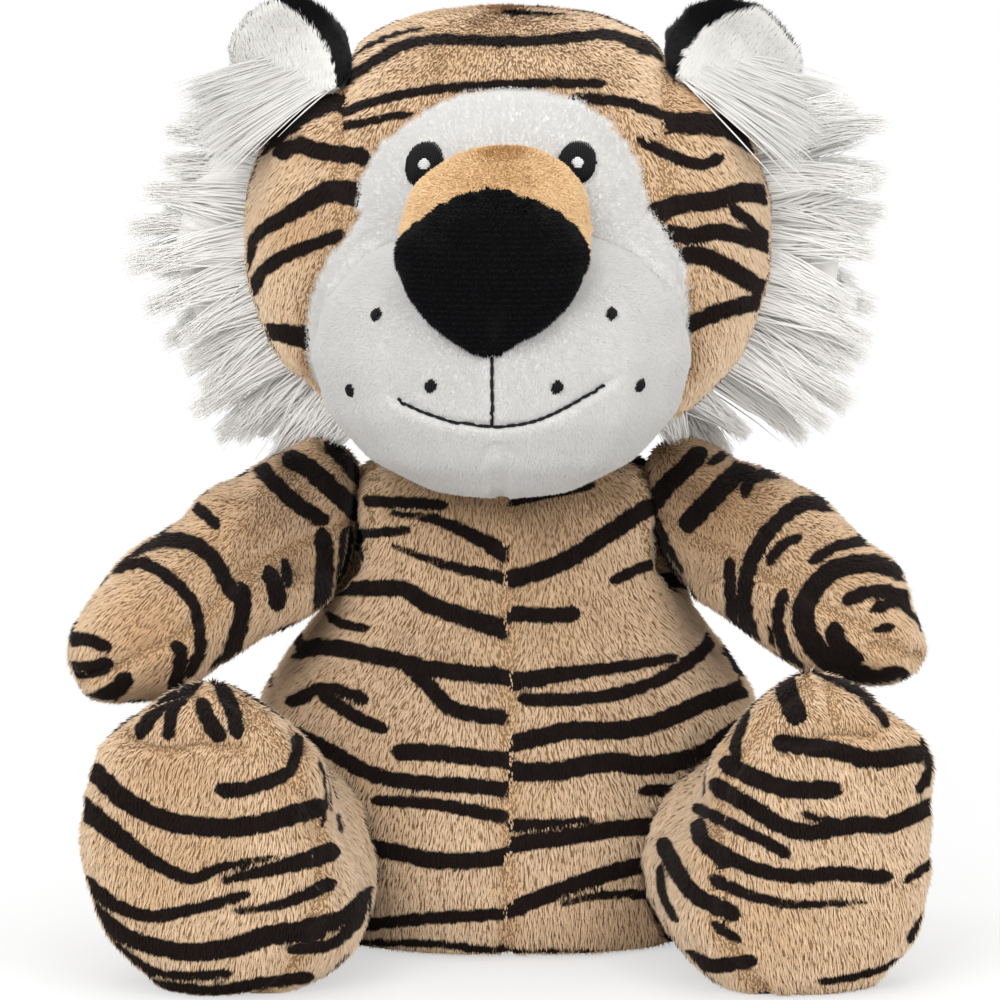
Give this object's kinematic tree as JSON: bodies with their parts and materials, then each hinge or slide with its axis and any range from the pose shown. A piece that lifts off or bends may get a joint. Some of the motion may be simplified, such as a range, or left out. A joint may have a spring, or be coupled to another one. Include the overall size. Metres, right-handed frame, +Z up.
{
  "type": "plush tiger",
  "caption": "Seated stuffed tiger toy with a turning head, arms that lift, legs that turn in, folding ears, a swinging tail and a pale mane.",
  "frame": {"origin": "middle of the flat underside of the seat, on the ground", "axes": "+Z up, the toy faces -Y, +X to the right as seen from the front"},
  "size_m": [0.1676, 0.156, 0.1872],
  "materials": {
    "torso_front_left": "matte",
    "torso_front_right": "matte",
    "torso_back_left": "matte",
    "torso_back_right": "matte",
    "seat_panel": "matte",
    "torso_stuffing": "matte",
    "pellet_bag": "matte",
    "crown_panel": "matte",
    "head_stuffing": "matte",
    "muzzle_stuffing": "matte",
    "nose_bridge": "matte",
    "nose": "matte",
    "mouth_curve": "matte",
    "mouth_line": "matte",
    "cheek_left": "matte",
    "eye_patch_left": "matte",
    "muzzle_left": "matte",
    "eye_left": "matte",
    "eye_glint_left": "matte",
    "mane_left": "matte",
    "whisker_dot_left_1": "matte",
    "whisker_dot_left_2": "matte",
    "whisker_dot_left_3": "matte",
    "cheek_right": "matte",
    "eye_patch_right": "matte",
    "muzzle_right": "matte",
    "eye_right": "matte",
    "eye_glint_right": "matte",
    "mane_right": "matte",
    "whisker_dot_right_1": "matte",
    "whisker_dot_right_2": "matte",
    "whisker_dot_right_3": "matte",
    "ear_front_left": "matte",
    "ear_back_left": "matte",
    "arm_upper_left": "matte",
    "arm_under_left": "matte",
    "arm_stuffing_left": "matte",
    "leg_side_left": "matte",
    "sole_left": "matte",
    "leg_stuffing_left": "matte",
    "ear_front_right": "matte",
    "ear_back_right": "matte",
    "arm_upper_right": "matte",
    "arm_under_right": "matte",
    "arm_stuffing_right": "matte",
    "leg_side_right": "matte",
    "sole_right": "matte",
    "leg_stuffing_right": "matte",
    "tail_cover": "matte",
    "tail_stuffing": "matte"
  },
  "bodies": {
    "torso": {"torso_front_left": "torso_front_left", "torso_front_right": "torso_front_right", "torso_back_left": "torso_back_left", "torso_back_right": "torso_back_right", "seat_panel": "seat_panel", "torso_stuffing": "torso_stuffing", "pellet_bag": "pellet_bag"},
    "head": {"crown_panel": "crown_panel", "head_stuffing": "head_stuffing", "muzzle_stuffing": "muzzle_stuffing", "nose_bridge": "nose_bridge", "nose": "nose", "mouth_curve": "mouth_curve", "mouth_line": "mouth_line", "cheek_left": "cheek_left", "eye_patch_left": "eye_patch_left", "muzzle_left": "muzzle_left", "eye_left": "eye_left", "eye_glint_left": "eye_glint_left", "mane_left": "mane_left", "whisker_dot_left_1": "whisker_dot_left_1", "whisker_dot_left_2": "whisker_dot_left_2", "whisker_dot_left_3": "whisker_dot_left_3", "cheek_right": "cheek_right", "eye_patch_right": "eye_patch_right", "muzzle_right": "muzzle_right", "eye_right": "eye_right", "eye_glint_right": "eye_glint_right", "mane_right": "mane_right", "whisker_dot_right_1": "whisker_dot_right_1", "whisker_dot_right_2": "whisker_dot_right_2", "whisker_dot_right_3": "whisker_dot_right_3"},
    "ear_left": {"ear_front_left": "ear_front_left", "ear_back_left": "ear_back_left"},
    "arm_left": {"arm_upper_left": "arm_upper_left", "arm_under_left": "arm_under_left", "arm_stuffing_left": "arm_stuffing_left"},
    "leg_left": {"leg_side_left": "leg_side_left", "sole_left": "sole_left", "leg_stuffing_left": "leg_stuffing_left"},
    "ear_right": {"ear_front_right": "ear_front_right", "ear_back_right": "ear_back_right"},
    "arm_right": {"arm_upper_right": "arm_upper_right", "arm_under_right": "arm_under_right", "arm_stuffing_right": "arm_stuffing_right"},
    "leg_right": {"leg_side_right": "leg_side_right", "sole_right": "sole_right", "leg_stuffing_right": "leg_stuffing_right"},
    "tail": {"tail_cover": "tail_cover", "tail_stuffing": "tail_stuffing"}
  },
  "joints": [
    {"name": "neck_turn", "type": "hinge", "parent": "torso", "child": "head", "pos_m": [0, 0, 0.095], "axis": [0, 0, 1], "range_deg": [-30, 30], "stiffness_Nm_per_rad": 0.1},
    {"name": "arm_left_lift", "type": "hinge", "parent": "torso", "child": "arm_left", "pos_m": [-0.036, 0, 0.083], "axis": [0, 1, 0], "range_deg": [0, 35], "stiffness_Nm_per_rad": 0.1},
    {"name": "leg_left_turn", "type": "hinge", "parent": "torso", "child": "leg_left", "pos_m": [-0.037, -0.014, 0.021], "axis": [0, 0, -1], "range_deg": [-15, 4], "stiffness_Nm_per_rad": 0.1},
    {"name": "ear_left_fold", "type": "hinge", "parent": "head", "child": "ear_left", "pos_m": [-0.04283, 0.00557, 0.1655], "axis": [-0.9057, 0.0332, -0.4226], "range_deg": [-15, 15], "stiffness_Nm_per_rad": 0.01},
    {"name": "arm_right_lift", "type": "hinge", "parent": "torso", "child": "arm_right", "pos_m": [0.036, 0, 0.083], "axis": [0, -1, 0], "range_deg": [0, 35], "stiffness_Nm_per_rad": 0.1},
    {"name": "leg_right_turn", "type": "hinge", "parent": "torso", "child": "leg_right", "pos_m": [0.037, -0.014, 0.021], "axis": [0, 0, 1], "range_deg": [-15, 4], "stiffness_Nm_per_rad": 0.1},
    {"name": "ear_right_fold", "type": "hinge", "parent": "head", "child": "ear_right", "pos_m": [0.04312, 0.00242, 0.1655], "axis": [0.9057, -0.0332, -0.4226], "range_deg": [-15, 15], "stiffness_Nm_per_rad": 0.01},
    {"name": "tail_swing", "type": "hinge", "parent": "torso", "child": "tail", "pos_m": [0, 0.047, 0.012], "axis": [0, 0, 1], "range_deg": [-20, 20], "stiffness_Nm_per_rad": 0.05}
  ]
}
